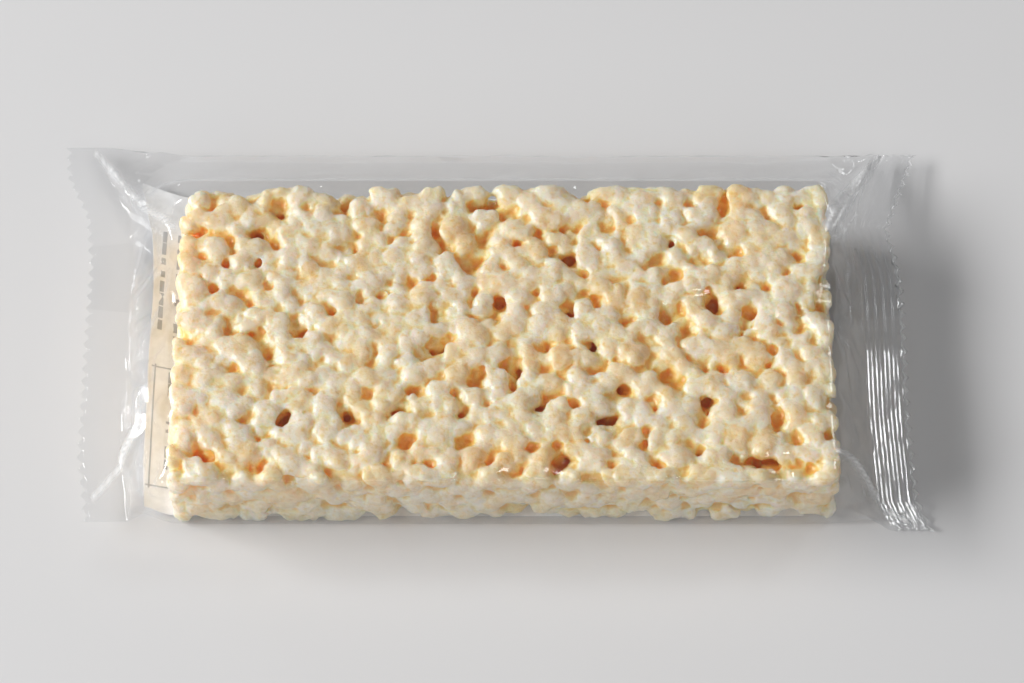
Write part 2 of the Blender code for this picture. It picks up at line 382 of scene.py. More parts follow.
# %% [markdown]
# ## The rice's colours
#
# Puffed rice is pale cream, toasted a little here and there. Light that enters a pit bounces
# between cream walls and comes out orange-brown, and that shade and bounced light are painted into
# the colour. It follows two values measured later on the finished mesh: how deep a point lies under
# the pressed surface, which gives painted shade in the pits, and how hollow its place is, which
# gives painted warm shade in small hollows and painted shade on raised bubbles. A third value,
# which grain a point belongs to, gives each grain its own toast. Soft clouds and fine flecks vary
# the cream, a thin coat stands for the syrup, and light wanders a little way inside the grains,
# which subsurface scattering gives. Each pattern becomes a tint through a colour ramp, and the
# tints are multiplied, as glazes of paint are laid over each other.

# %% Rice material
TOASTED = (
    (0.0, (0.99, 0.91, 0.80)),
    (0.55, (0.99, 0.88, 0.72)),
    (0.85, (0.99, 0.84, 0.62)),
    (1.0, (0.99, 0.78, 0.52)),
)
CLOUDED = (
    (0.30, (0.94, 0.79, 0.52)),
    (0.40, (0.98, 0.91, 0.76)),
    (0.50, (0.99, 0.97, 0.93)),
    (0.62, (1.0, 1.0, 1.0)),
)
FLECKED = (
    (0.32, (0.95, 0.85, 0.60)),
    (0.44, (1.0, 0.98, 0.93)),
    (0.52, (1.0, 1.0, 1.0)),
)
# Painted shade: raised bubbles a little darker to dim their highlights, small hollows a warm golden
# shade
PAINTED_HOLLOW_SHADE = (
    (0.0, (0.91, 0.88, 0.85)),
    (0.34, (1.0, 0.995, 0.99)),
    (0.60, (1.0, 0.95, 0.76)),
    (1.0, (0.99, 0.80, 0.42)),
)
# Painted shade and bounced light in the pits: the deeper a point lies, the more orange-brown
PAINTED_PIT_SHADE = (
    (0.22, (1.0, 1.0, 1.0)),
    (0.36, (0.99, 0.93, 0.69)),
    (0.6, (0.97, 0.79, 0.38)),
    (1.0, (0.88, 0.58, 0.16)),
)
HOLLOW_SHADE_RANGE = (-0.15, 0.30)
PIT_SHADE_RANGE = (0.0, 3.0)


def rice_material():
    material, tree, shader = new_material("puffed_rice")
    where = object_place(tree)
    cream = colour_ramp(tree, measured(tree, "toast"), TOASTED)
    for pattern, stops in (
        (noise(tree, where, 420.0, 6.0, 0.75), CLOUDED),
        (noise(tree, where, 1300.0, 3.0, 0.6), FLECKED),
        # Painted shade in small hollows and on raised bubbles, from how hollow each place is
        (between(tree, measured(tree, "dent"), *HOLLOW_SHADE_RANGE), PAINTED_HOLLOW_SHADE),
        # Painted shade in the pits, from the depth under the pressed surface
        (between(tree, measured(tree, "pit"), *PIT_SHADE_RANGE), PAINTED_PIT_SHADE),
    ):
        cream = mixed(tree, 1.0, cream, colour_ramp(tree, pattern, stops), "MULTIPLY")
    fill(tree, shader, {
        "Base Color": cream,
        "Roughness": cloudiness(tree, 260.0, 0.52, 0.24),
        "Coat Weight": 0.3,
        "Coat Roughness": 0.18,
        "Subsurface Weight": 0.95,
        "Subsurface Radius": (1.0, 0.70, 0.44),
        "Subsurface Scale": 3.8 * MM,
        "Normal": bumps(tree, noise(tree, where, 1050.0, 4.0, 0.6), 1.0, 0.25 * MM),
    })
    return material


RICE = rice_material()
print("rice material", len(RICE.node_tree.nodes), "nodes")

# %% [markdown]
# ## The grains
#
# In the real bar each grain is a blistered puff about 6 mm long, and the tray presses the outer
# ones flat. The bar could be a block with a bumpy texture, but its pits are real holes between
# grains, so real grains are laid: three layers, one inside the other, each spread over a box at an
# even spacing and turned at random. Geometry Nodes do it, because the same puff repeats well over a
# thousand times and only its place, turn, size and blisters change. The faces of all those puffs
# aren't kept: the next steps fuse them to one skin, and thin that skin out.

# %% Grain sizes
GRAIN_LENGTH = 5.7 * MM
GRAIN_WIDTH = 3.9 * MM
GRAIN_DEPTH = 3.5 * MM
SMALLEST, LARGEST = 0.84, 1.14
TILT = 0.4
LUMP_SCALE = 3.0
BLISTER_SCALE = 2.9
BLISTER_LEVEL = 0.25
DRIFT = 90.0
LAYERS = (
    {"sides": 1.05 * MM, "top": 1.42 * MM, "spacing": 3.05 * MM},
    {"sides": 2.6 * MM, "top": 2.9 * MM, "spacing": 3.1 * MM},
    {"sides": 4.4 * MM, "top": 5.0 * MM, "spacing": 3.9 * MM},
)
# Far more points to the square metre than fit, so that the spacing alone thins them out
AS_MANY_AS_FIT = 3e6
GLUE = 0.13 * MM
GRAIN_SEED = 5
BAR_BOTTOM = 0.4 * MM
BAR_TOP = bar_high.z
BACK_BULGE = 0.6 * MM
bar_width = bar_high.x - bar_low.x
bar_depth = bar_high.y - bar_low.y + BACK_BULGE
bar_size = Vector((bar_width, bar_depth, BAR_TOP - BAR_BOTTOM))
bar_centre = Vector((bar_middle.x, bar_middle.y + BACK_BULGE / 2, (BAR_TOP + BAR_BOTTOM) / 2))


# %% Geometry tree that lays the grains
def grain_layer(tree, given, puff, layer, seed):
    """One layer of grains, spread over a box that lies a little inside the bar's surface."""
    inset = (2 * layer["sides"], 2 * layer["sides"], 2 * layer["top"])
    inputs = {0: given["Bar Size"], 1: inset}
    size = result_of(tree, "ShaderNodeVectorMath", inputs, operation="SUBTRACT")
    inputs = {
        "Mesh": result_of(tree, "GeometryNodeMeshCube", {"Size": size}),
        "Distance Min": layer["spacing"],
        "Density Max": AS_MANY_AS_FIT,
        "Seed": seed,
    }
    kind = "GeometryNodeDistributePointsOnFaces"
    spread = place(tree, kind, inputs, distribute_method="POISSON").outputs
    inputs = {0: (-TILT, -TILT, 0.0), 1: (TILT, TILT, 2 * pi), "Seed": seed + 10}
    turn = result_of(tree, "FunctionNodeRandomValue", inputs, data_type="FLOAT_VECTOR")
    inputs = {"Rotation": spread["Rotation"], "Rotate By": turn}
    turned = result_of(tree, "FunctionNodeRotateRotation", inputs, rotation_space="LOCAL")
    bulk = random_number(tree, SMALLEST, LARGEST, seed + 20)
    inputs = {
        "Points": spread["Points"],
        "Instance": puff,
        "Rotation": turned,
        "Scale": scaled(tree, given["Grain Size"], bulk),
    }
    return result_of(tree, "GeometryNodeInstanceOnPoints", inputs)


def grain_tree(inputs):
    """Three layers of puffs. A fourth coordinate drifts the pattern, so that no two are alike."""
    tree, given = new_geometry_tree("lay_grains", inputs)
    ball = result_of(tree, "GeometryNodeMeshIcoSphere", {"Radius": 0.5, "Subdivisions": 4})
    where = result_of(tree, "GeometryNodeInputPosition")
    puff = stored(tree, ball, "on_puff", where, "FLOAT_VECTOR")
    join = tree.nodes.new("GeometryNodeJoinGeometry")
    for order, layer in enumerate(LAYERS):
        laid = grain_layer(tree, given, puff, layer, GRAIN_SEED + order)
        tree.links.new(laid, join.inputs[0])
    chance = random_number(tree, 0.0, 1.0, given["Seed"])
    marked = stored(tree, join.outputs[0], "grain", chance, domain="INSTANCE")
    index = result_of(tree, "GeometryNodeInputIndex")
    marked = stored(tree, marked, "number", index, domain="INSTANCE")
    real = result_of(tree, "GeometryNodeRealizeInstances", {"Geometry": marked})
    on_puff = value_of(tree, "on_puff", "FLOAT_VECTOR")
    drift = product(tree, value_of(tree, "grain"), DRIFT)
    inputs = {"Vector": on_puff, "W": drift, "Scale": LUMP_SCALE, "Detail": 2.0, "Roughness": 0.6}
    lumps = result_of(tree, "ShaderNodeTexNoise", inputs, noise_dimensions="4D")
    inputs = {"Vector": on_puff, "W": drift, "Scale": BLISTER_SCALE}
    blisters = result_of(tree, "ShaderNodeTexVoronoi", inputs, voronoi_dimensions="4D")
    sizes = (lumps, given["Lump"], blisters, BLISTER_LEVEL, given["Blister"])
    return end_tree(tree, pushed_out(tree, real, lumps_and_domes(tree, *sizes)), given["Rice"])


grain_inputs = {
    "Bar Size": bar_size,
    "Grain Size": Vector((GRAIN_LENGTH, GRAIN_WIDTH, GRAIN_DEPTH)) + Vector((2 * GLUE,) * 3),
    "Lump": 1.6 * MM,
    "Blister": 0.7 * MM,
    "Seed": GRAIN_SEED,
    "Rice": RICE,
}
bar = run_tree("puffed_rice_bar", grain_tree(grain_inputs), grain_inputs)

# %% [markdown]
# ## Pressing and glueing
#
# The tray flattens whatever stands out, and marshmallow fills the narrow cracks with soft webs. The
# press is a limit that each point is eased under, with a slightly different level for each grain.
# The glue is made by growing all grains a little, fusing them with a voxel remesh and shrinking
# the skin back: narrow cracks stay closed and wide pits stay open, as with the real syrup.

# %% Press the grains flat
TOP_UNEVEN = 0.28 * MM
SIDE_UNEVEN = 0.15 * MM
PRESS_SOFTNESS = 0.16 * MM
BAR_CORNER = 1.8 * MM
TOP_EDGE = 0.6 * MM


def ease_under(values, limit, softness):
    """Keeps values under a limit, with a soft shoulder just below it."""
    return limit - softness * np.logaddexp(0, (limit - values) / softness)


def round_off(first, second, radius):
    """How much to pull points in to a rounded corner, from how far they are past its centre."""
    reach = np.hypot(np.maximum(first, 0), np.maximum(second, 0))
    outside = (first > 0) & (second > 0) & (reach > radius)
    return np.where(outside, radius / np.maximum(reach, 1e-9), 1.0)


def press(points, grain):
    """Presses points into the bar's block, grown by the glue that is taken off again later.

    Each grain has one random number. Multiples of it, without their whole part, give it two more.
    """
    half = np.array(bar_size) / 2 + GLUE
    second, third = grain * 7 % 1, grain * 13 % 1
    uneven = (SIDE_UNEVEN * second, SIDE_UNEVEN * third, TOP_UNEVEN * grain ** 1.5)
    signs, sizes = np.sign(points), np.abs(points)
    for axis in range(3):
        sizes[:, axis] = ease_under(sizes[:, axis], half[axis] - uneven[axis], PRESS_SOFTNESS)
    for a, b, radius in ((0, 1, BAR_CORNER), (0, 2, TOP_EDGE), (1, 2, TOP_EDGE)):
        past_a, past_b = sizes[:, a] - half[a] + radius, sizes[:, b] - half[b] + radius
        pull = round_off(past_a, past_b, radius)
        sizes[:, a] += past_a * (pull - 1)
        sizes[:, b] += past_b * (pull - 1)
    return signs * sizes


grain = read_value(bar.data, "grain").astype(np.float64)
number = read_value(bar.data, "number").round().astype(int)
laid = read_points(bar.data)
sums = [np.bincount(number, laid[:, axis]) for axis in range(3)]
grain_middles = np.stack(sums, 1) / np.bincount(number)[:, None]
print("grains", len(grain_middles))
write_points(bar.data, press(laid, grain) + np.array(bar_centre))
print("pressed to", [round(v / MM, 1) for v in np.ptp(read_points(bar.data), axis=0)], "mm")

# %% Fuse the grains and shrink the skin back
CORE_INSET = Vector((0.9, 0.9, 3.6)) * MM
VOXEL = 0.27 * MM
SOFTENING = 0.3


def add_core(target):
    """Adds the block that fills the bar's middle, where nobody sees."""
    low = bar_centre - bar_size / 2 + CORE_INSET
    high = bar_centre + bar_size / 2 - CORE_INSET
    sides = list(zip(low, high))
    corners = [(x, y, z) for x in sides[0] for y in sides[1] for z in sides[2]]
    faces = [(0, 1, 3, 2), (4, 6, 7, 5), (0, 4, 5, 1), (2, 3, 7, 6), (0, 2, 6, 4), (1, 5, 7, 3)]
    core = object_from("core", corners, faces)
    core.data.materials.append(RICE)
    with bpy.context.temp_override(active_object=target, selected_editable_objects=[target, core]):
        bpy.ops.object.join()


def keep_largest_shell(mesh):
    """Drops hollows and scraps: only the shell with the most points stays."""
    a, b = read_edges(mesh)
    label = np.arange(len(mesh.vertices))
    while True:
        low = np.minimum(label[a], label[b])
        new = label.copy()
        np.minimum.at(new, a, low)
        np.minimum.at(new, b, low)
        new = new[new]
        if (new == label).all():
            break
        label = new
    names, sizes = np.unique(label, return_counts=True)
    drop = np.flatnonzero(label != names[sizes.argmax()])
    bm = bmesh.new()
    bm.from_mesh(mesh)
    bm.verts.ensure_lookup_table()
    bmesh.ops.delete(bm, geom=[bm.verts[i] for i in drop], context="VERTS")
    bm.to_mesh(mesh)
    bm.free()
    return len(names)


add_core(bar)
add_modifier(bar, "REMESH", mode="VOXEL", voxel_size=VOXEL)
add_modifier(bar, "DISPLACE", strength=-GLUE, mid_level=0.0)
add_modifier(bar, "REMESH", mode="VOXEL", voxel_size=VOXEL)
add_modifier(bar, "SMOOTH", factor=SOFTENING, iterations=1)
settle(bar)
print("shells", keep_largest_shell(bar.data), "triangles", count_triangles(bar))

# %% [markdown]
# ## Bubbles and dents on the puffs
#
# Even a pressed grain isn't flat. It's a cluster of bubbles some two millimetres wide with fine
# creases between them, and its skin has smaller dents. They could be left to the shader's bump, but
# their outline shows against the pits, so they are moved points: a smooth Voronoi pattern gives a
# round top for each bubble, and noise gives the dents. What would stick out below is pressed flat,
# because the bar lies on it.
#
# After that the mesh is thinned in two goes. The underside, which nobody sees, gives up most of its
# triangles through a vertex group. Then the whole mesh is thinned, the flattest places first.

# %% Bubbles and dents
BUBBLE_LEVEL = 0.27
BUBBLE_SOFTNESS = 0.12


def bubble_tree(inputs):
    tree, given = new_geometry_tree("blow_bubbles", inputs)
    where = result_of(tree, "GeometryNodeInputPosition")
    dents = noise(tree, where, reckon(tree, "DIVIDE", 1.0, given["Dent Size"]), 1.0)
    per_bubble = reckon(tree, "DIVIDE", 1.0, given["Bubble Size"])
    bubbles = result_of(
        tree,
        "ShaderNodeTexVoronoi",
        {"Vector": where, "Scale": per_bubble, "Smoothness": BUBBLE_SOFTNESS},
        voronoi_dimensions="3D",
        feature="SMOOTH_F1",
    )
    sizes = (dents, given["Dent Depth"], bubbles, BUBBLE_LEVEL, given["Bubble Depth"])
    domed = pushed_out(tree, given["Geometry"], lumps_and_domes(tree, *sizes))
    return end_tree(tree, domed, given["Rice"])


bubble_inputs = {
    "Bubble Size": 2.5 * MM,
    "Bubble Depth": 0.9 * MM,
    "Dent Size": 1.0 * MM,
    "Dent Depth": 0.42 * MM,
    "Rice": RICE,
}
run_tree("bubbles", bubble_tree(bubble_inputs), bubble_inputs, start=bar)

# %% Press the bottom flat and thin the mesh
LYING_FLAT = 0.34 * MM
UNSEEN_BELOW = 1.5 * MM
BOTTOM_THINNING = 0.85
BAR_TRIANGLES = 190000

skin = read_points(bar.data)
skin[:, 2] = np.maximum(skin[:, 2], LYING_FLAT)
write_points(bar.data, skin)
bottom = np.flatnonzero(skin[:, 2] < UNSEEN_BELOW)
bar.vertex_groups.new(name="bottom").add(bottom.tolist(), 1.0, "REPLACE")
share_left = 1.0 - BOTTOM_THINNING * len(bottom) / len(bar.data.vertices)
add_modifier(bar, "DECIMATE", vertex_group="bottom", ratio=share_left)
settle(bar)
bar.vertex_groups.clear()
print("with a thinner bottom", count_triangles(bar), "triangles")
add_modifier(bar, "DECIMATE", ratio=min(1.0, BAR_TRIANGLES / count_triangles(bar)))
settle(bar)
print("bar triangles", count_triangles(bar))

# %% Values for the bar's colours
BLUR_ROUNDS = 12


def hollowness(mesh, points):
    """How far each point lies below the mean of its neighbours, along its normal: above 0 in a dent."""
    a, b = read_edges(mesh)
    links = np.bincount(np.concatenate([a, b]), minlength=len(points))[:, None]
    blurred = points
    for _ in range(BLUR_ROUNDS):
        total = np.zeros_like(points)
        np.add.at(total, a, blurred[b])
        np.add.at(total, b, blurred[a])
        blurred = total / links
    return ((blurred - points) * read_rows(mesh.vertices, "normal", 3)).sum(1)


def nearest_grain_values(points, values):
    """The value of the grain whose middle is nearest to each point."""
    tree = kdtree.KDTree(len(grain_middles))
    for i, middle in enumerate(grain_middles + np.array(bar_centre)):
        tree.insert(middle, i)
    tree.balance()
    return values[[tree.find(p)[1] for p in points]]


skin = read_points(bar.data)
inside = np.array(bar_size) / 2 - np.abs(skin - np.array(bar_centre))
toast = np.random.default_rng(GRAIN_SEED).random(len(grain_middles))
# The depth under the pressed surface drives the painted shade in the pits
write_value(bar.data, "pit", inside.min(1) / MM)
# How hollow each place is drives the painted shade in hollows and on bubbles
write_value(bar.data, "dent", hollowness(bar.data, skin) / MM)
write_value(bar.data, "toast", nearest_grain_values(skin, toast))
print("deepest pit", round(float(inside.min(1).max() / MM), 2), "mm")
bar.data.shade_smooth()
print("on the bar:", [material.name for material in bar.data.materials])
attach(bar, "root")
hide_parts("crispy_bar")

# %% [markdown]
# ## Looking at the film
#
# Wrapping film lets nearly all light through and throws a little of it back, more at a slant. A
# glass shader would bend the light as a thick pane does, so the film mixes a transparent shader
# with a shiny one. The share of shine grows towards grazing angles, which the Layer Weight node
# measures. The same cloudiness as on the rice changes the film's gloss a little. Along sharp
# creases and on the saw's cut a value stored on the mesh mixes in some white: a painted highlight.

# %% Film material
STEEPNESS = 4.0
MOST_SHINE = 0.9
MOST_PAINTED_GLINT = 0.8


def film_material(name, tint, shine, haze):
    """Thin film: mostly see-through, with a mirror-like share that grows towards grazing angles."""
    material, tree, shader = new_material(name)
    fill(tree, shader, {
        "Base Color": (0.93, 0.94, 0.95, 1.0),
        "Metallic": 1.0 - haze,
        "Roughness": cloudiness(tree, 150.0, 0.05, 0.12),
        "Normal": bumps(tree, noise(tree, object_place(tree), 700.0, 2.0), 0.25, 0.05 * MM),
    })
    facing = place(tree, "ShaderNodeLayerWeight", {"Blend": 0.5}).outputs["Facing"]
    steep = reckon(tree, "POWER", facing, STEEPNESS)
    share = between(tree, steep, 0.0, 1.0, shine, MOST_SHINE)
    through = result_of(tree, "ShaderNodeBsdfTransparent", {"Color": (*tint, 1.0)})
    both = result_of(tree, "ShaderNodeMixShader", {0: share, 1: through, 2: shader.outputs[0]})
    # Painted highlight: white mixed in along sharp creases and on the saw's cut, by a value stored on
    # the mesh
    painted_glint = product(tree, measured(tree, "painted_glint"), MOST_PAINTED_GLINT)
    looks = {"Base Color": (0.95, 0.96, 0.97, 1.0), "Roughness": 0.3}
    white = result_of(tree, "ShaderNodeBsdfPrincipled", looks)
    film = result_of(tree, "ShaderNodeMixShader", {0: painted_glint, 1: both, 2: white})
    fill(tree, tree.nodes["Material Output"], {"Surface": film})
    return material


CLEAR_FILM = film_material("clear_film", (0.986, 0.988, 0.990), shine=0.055, haze=0.25)
SEAM_FILM = film_material("seam_film", (0.998, 0.998, 0.998), shine=0.012, haze=0.35)
print("film material", len(CLEAR_FILM.node_tree.nodes), "nodes")

# %% [markdown]
# ## The clear bag
#
# A flow wrap is one sheet of film: folded to a tube round the bar, closed by a seam underneath, and
# squeezed flat at both ends by hot ribbed jaws that also saw it off. It could be a cloth simulation,
# but this film is stiff, its few folds are where the photo shows them, and a formula puts them
# there exactly. So the bag is lofted from rings of points, from the left saw-cut edge over the bar
# to the right one. Each ring goes over the top and comes back under the floor. Places here are
# in millimetres from the bar's middle.

# %% Sizes of the bag
# The saw-cut edges in plan, from front to back
LEFT_EDGE = (
    (-60.0, -25.0), (-61.5, -15.0), (-61.5, 16.5),
    (-62.5, 25.0), (-66.0, 33.0), (-66.5, 38.5),
)
RIGHT_EDGE = (
    (61.7, -25.5), (59.8, -21.0), (59.1, -8.0),
    (59.0, 15.0), (57.6, 23.0), (62.5, 37.0),
)
# The section round the bar in Y and Z, from front to back
OVER = (
    (-24.55, 7.3), (-24.55, 13.4), (-24.3, 14.0), (-23.6, 14.2), (24.2, 14.2), (25.2, 13.9),
    (26.2, 12.6), (28.4, 9.5), (31.8, 6.6), (35.0, 4.4), (35.9, 3.8), (36.2, 3.3),
)
UNDER = (
    (-24.55, 7.2), (-24.55, 1.0), (-24.2, 0.45), (-23.4, 0.22),
    (28.5, 0.22), (32.0, 0.9), (35.5, 2.5), (36.2, 3.2),
)
# Which share of the section goes to which share of the seal
OVER_TO_SEAL = ((0.0, 0.0), (0.097, 0.05), (0.78, 0.80), (1.0, 1.0))
UNDER_TO_SEAL = ((0.0, 0.0), (0.105, 0.04), (0.885, 0.92), (1.0, 1.0))
# How high the seals stand, at shares of their length
LEFT_HEIGHTS = ((0.0, 2.6), (0.22, 3.6), (0.48, 4.4), (0.78, 3.7), (1.0, 1.7))
RIGHT_HEIGHTS = (
    (0.0, 0.6), (0.092, 1.18), (0.249, 2.35), (0.405, 3.66), (0.452, 4.08),
    (0.50, 4.3), (0.55, 4.35), (0.80, 3.7), (1.0, 1.9),
)
BAR_END = 47.9
SEAL_WIDTH = 6.2
LAYER_GAP = 0.10
COLUMNS = 192
SEAL_STEPS = 60
SHOULDER_STEPS = 16
BODY_PITCH = 1.6


# %% Rings of the bag
def along(points, share):
    """The places at these shares of a bent line's length."""
    points = np.array(points)
    steps = np.sqrt((np.diff(points, axis=0) ** 2).sum(1))
    reach = np.concatenate([[0.0], steps.cumsum()]) / steps.sum()
    return np.stack([np.interp(share, reach, column) for column in points.T], -1)


def softly(share, stops, blur=0.03):
    """A value that runs straight from stop to stop, with the corners rounded."""
    places, values = np.array(stops).T
    shifts = (-1, -0.5, 0, 0.5, 1)
    return sum(np.interp(share + shift * blur, places, values) for shift in shifts) / len(shifts)


def seal_places(side, share, depth):
    """Places on a flat seal: share runs from front to back, depth from the bag outwards."""
    x, y = along(RIGHT_EDGE if side > 0 else LEFT_EDGE, share).T
    height = softly(share, RIGHT_HEIGHTS if side > 0 else LEFT_HEIGHTS)
    return np.stack([x + side * SEAL_WIDTH * (depth - 1), y, height], -1)


def layer_rings(section, to_seal, face):
    """All rings of one layer of film, from left to right.

    A ring comes with two numbers: how far it is gathered towards the seal, from 0 on the bar to 1,
    and how deep it lies in the seal, from 0 at its inner side to 1 at the saw cut.
    """
    w = np.linspace(0, 1, COLUMNS + 1)
    y, z = along(section, w).T
    squeezed = np.interp(w, *np.array(to_seal).T)
    ends = []
    for side in (-1, 1):
        end = []
        for k in range(SEAL_STEPS, -1, -1):
            depth = k / SEAL_STEPS
            ring = seal_places(side, squeezed + (w - squeezed) * depth, depth)
            ring[:, 2] += face * LAYER_GAP / 2
            end.append((ring, 1.0, depth))
        inner = end[-1][0]
        start = np.stack([np.full_like(y, side * BAR_END), y, z], -1)
        for k in range(SHOULDER_STEPS - 1, 0, -1):
            weight = k / SHOULDER_STEPS
            end.append((start + (inner - start) * weight, weight, 0.0))
        ends.append(end)
    body = []
    for x in np.linspace(-BAR_END, BAR_END, round(2 * BAR_END / BODY_PITCH) + 1):
        body.append((np.stack([np.full_like(y, x), y, z], -1), 0.0, 0.0))
    return ends[0] + body + ends[1][::-1]


plan_middle = np.array((bar_middle.x, bar_middle.y, 0.0))


def to_millimetres(points):
    """Brings places in the model to millimetres from the bar's middle."""
    return (points - plan_middle) / MM


def to_metres(points):
    return points * MM + plan_middle


over_rings = layer_rings(OVER, OVER_TO_SEAL, 1)
under_rings = layer_rings(UNDER, UNDER_TO_SEAL, -1)
print("rings", len(over_rings), "with", 2 * (COLUMNS + 1), "points each")

# %% [markdown]
# ## Creases
#
# Where the wide bag narrows to its flat seals there is too much film, and it stands up in sharp
# ridges from the bar's corners to the seals' corners. A crease is a line on the film with a height
# that falls off to both sides, like a tent over its ridge pole, and the small folds stay calm near
# it, so that the ridge is one clean line. The film over the bar lies on the grains, which are read
# from the bar's own mesh.

# %% Lines of the creases
CREASE_FOOT = 1.5
# For each crease: its line in plan, its height, its width and how bright a painted highlight its ridge
# gets
CREASES = (
    (((57.2, 37.2), (52.5, 30.0), (46.9, 16.7)), 1.6, 1.2, 1.0),
    (((55.4, 33.9), (52.8, 28.6), (50.3, 22.2), (48.6, 16.1)), 0.8, 0.5, 0.6),
    (((47.4, -19.5), (49.6, -20.2), (52.2, -21.0), (54.3, -22.1), (58.1, -24.3)), 1.4, 0.8, 0.7),
    (((-61.8, 37.4), (-55.7, 28.1), (-52.9, 23.1), (-48.0, 17.0)), 1.4, 0.9, 0.6),
    (((-54.6, 28.5), (-56.7, 24.5), (-59.2, 20.6)), -0.9, 0.8, 0.0),
    (((-51.9, -7.1), (-52.2, -12.6), (-54.1, -15.3), (-56.1, -17.9), (-58.6, -21.1)), 1.5, 1.0, 0.7),
)


def distance_to_line(points, line):
    """Distance in plan from points to a bent line."""
    best = np.full(len(points), np.inf)
    for a, b in zip(np.array(line), np.array(line)[1:]):
        run = b - a
        share = np.clip(((points - a) @ run) / (run @ run), 0, 1)
        best = np.minimum(best, np.hypot(*(points - a - share[:, None] * run).T))
    return best


def crease_height(points, loose):
    height = np.zeros(len(points))
    for line, rise, width, _ in CREASES:
        distance = distance_to_line(points[:, :2], line)
        height += rise * np.maximum(0, 1 - distance / (CREASE_FOOT * width))
    return height * loose


# %% Grains under the film
CELL = 0.8
MAP_LENGTH, MAP_DEPTH = 100, 52
MAP_CORNER = (MAP_LENGTH // 2, MAP_DEPTH // 2)
FILM_TOP = 14.48
FILM_LIFT = 0.22
LOWEST_GRAIN_TOP = 12.5


def with_neighbours(cells):
    return [np.roll(cells, (dx, dy), (0, 1)) for dx in (-1, 0, 1) for dy in (-1, 0, 1)]


def highest_grains():
    """A coarse map of the bar's highest points, spread to the next cells and then smoothed."""
    skin_mm = to_millimetres(read_points(bar.data))
    cells = np.zeros((round(MAP_LENGTH / CELL), round(MAP_DEPTH / CELL)))
    spot = ((skin_mm[:, :2] + MAP_CORNER) / CELL).astype(int)
    np.maximum.at(cells, (spot[:, 0], spot[:, 1]), skin_mm[:, 2])
    grown = np.max(with_neighbours(cells), axis=0)
    return sum(with_neighbours(grown)) / 9


def lie_on_grains(points):
    """Lifts film over the bar onto the grains' map."""
    cells = highest_grains()
    spot = np.clip((points[:, :2] + MAP_CORNER) / CELL - 0.5, 0, np.array(cells.shape) - 2)
    low = spot.astype(int)
    a, b = (spot - low).T
    x, y = low.T
    ground = (
        cells[x, y] * (1 - a) * (1 - b) + cells[x + 1, y] * a * (1 - b)
        + cells[x, y + 1] * (1 - a) * b + cells[x + 1, y + 1] * a * b
    )
    on_film = np.minimum(ground + FILM_LIFT, FILM_TOP)
    return np.where(ground > LOWEST_GRAIN_TOP, on_film, points[:, 2])


# %% Shape of the whole bag
SLACK_OVER_BAR = 0.04
SLACK_UNDER_BAR = 0.3
SLACK_BEHIND = 0.28
SLACK_SPREAD = 0.6
BEHIND_FROM = 25.5
BEHIND_RUN = 3
ON_BAR = 24.2
LOOSENESS = 1.4
CREASE_CALM = 2.0
CALMED = 0.85
SHOULDER_REACH = 0.4
SHOULDER_ROUNDS = 4
RIDGE_WIDTH = 0.45
SAWN_PAINTED_GLINT = 0.5
SAWN_FROM = 0.9


def as_points(rings):
    return np.stack([ring for ring, _, _ in rings])


def near_a_crease(points):
    """How close each point is to a crease, from 0 far away to 1 on its ridge."""
    nearest = np.min([distance_to_line(points[:, :2], line) for line, _, _, _ in CREASES], axis=0)
    return np.exp(-nearest / CREASE_CALM)


def painted_glints(points):
    """Painted highlight on the film: white along sharp creases and on the right seal's saw cut."""
    flat = points.reshape(-1, 3)
    ridges = []
    for line, _, _, painted_glint in CREASES:
        ridges.append(painted_glint * np.exp(-(distance_to_line(flat[:, :2], line) / RIDGE_WIDTH) ** 2))
    # The saw's cut on the right seal gets a painted highlight too
    on_cut = [g == 1 and d > SAWN_FROM and ring[0, 0] > 0 for ring, g, d in over_rings]
    cut_painted_glint = SAWN_PAINTED_GLINT * np.array(on_cut)[:, None]
    return np.maximum(np.max(ridges, axis=0).reshape(points.shape[:2]), cut_painted_glint)


def slack_of(rings, over):
    """How free the film is, from 0 where it is welded or taut to 1 in the upper end panels."""
    gather = np.array([g for _, g, _ in rings])[:, None]
    unwelded = gather < 1
    behind_bar = np.clip((as_points(rings)[:, :, 1] - BEHIND_FROM) / BEHIND_RUN, 0, 1)
    free = np.sin(np.clip(gather, 0, 1) * pi) ** SLACK_SPREAD * unwelded
    most = 1.0 if over else SLACK_UNDER_BAR
    slack = np.maximum(most * free, SLACK_BEHIND * behind_bar * unwelded)
    return np.maximum(slack, SLACK_OVER_BAR * unwelded * over)


def round_shoulders(points):
    """Softens the bend where the film leaves the bar's ends."""
    gather = np.array([g for _, g, _ in over_rings])
    near = (gather < SHOULDER_REACH)[1:-1, None, None]
    for _ in range(SHOULDER_ROUNDS):
        mean = (points[:-2] + points[2:]) / 2
        points[1:-1] += np.where(near, 0.5 * (mean - points[1:-1]), 0)
    return points


def grid_normals(points, face):
    along_x = np.gradient(points, axis=0)
    along_y = np.gradient(points, axis=1)
    normal = np.cross(along_x, along_y) * face
    return normal / np.maximum(np.linalg.norm(normal, axis=2, keepdims=True), 1e-9)


def shape_layer(rings, face):
    """One layer of the bag as a grid of points, and how free the film is at each of them."""
    points = round_shoulders(as_points(rings))
    slack = slack_of(rings, face > 0)
    if face > 0:
        flat = points.reshape(-1, 3)
        calm = near_a_crease(flat).reshape(slack.shape)
        gather = np.repeat([g for _, g, _ in rings], COLUMNS + 1)
        on_bar = (gather == 0) & (np.abs(flat[:, 1]) < ON_BAR)
        flat[on_bar, 2] = lie_on_grains(flat[on_bar])
        loose = np.clip(slack.ravel() * LOOSENESS, 0, 1)
        push = grid_normals(points, face).reshape(-1, 3) * crease_height(flat, loose)[:, None]
        points = (flat + push).reshape(points.shape)
        slack = slack * (1 - CALMED * calm)
    return points, slack


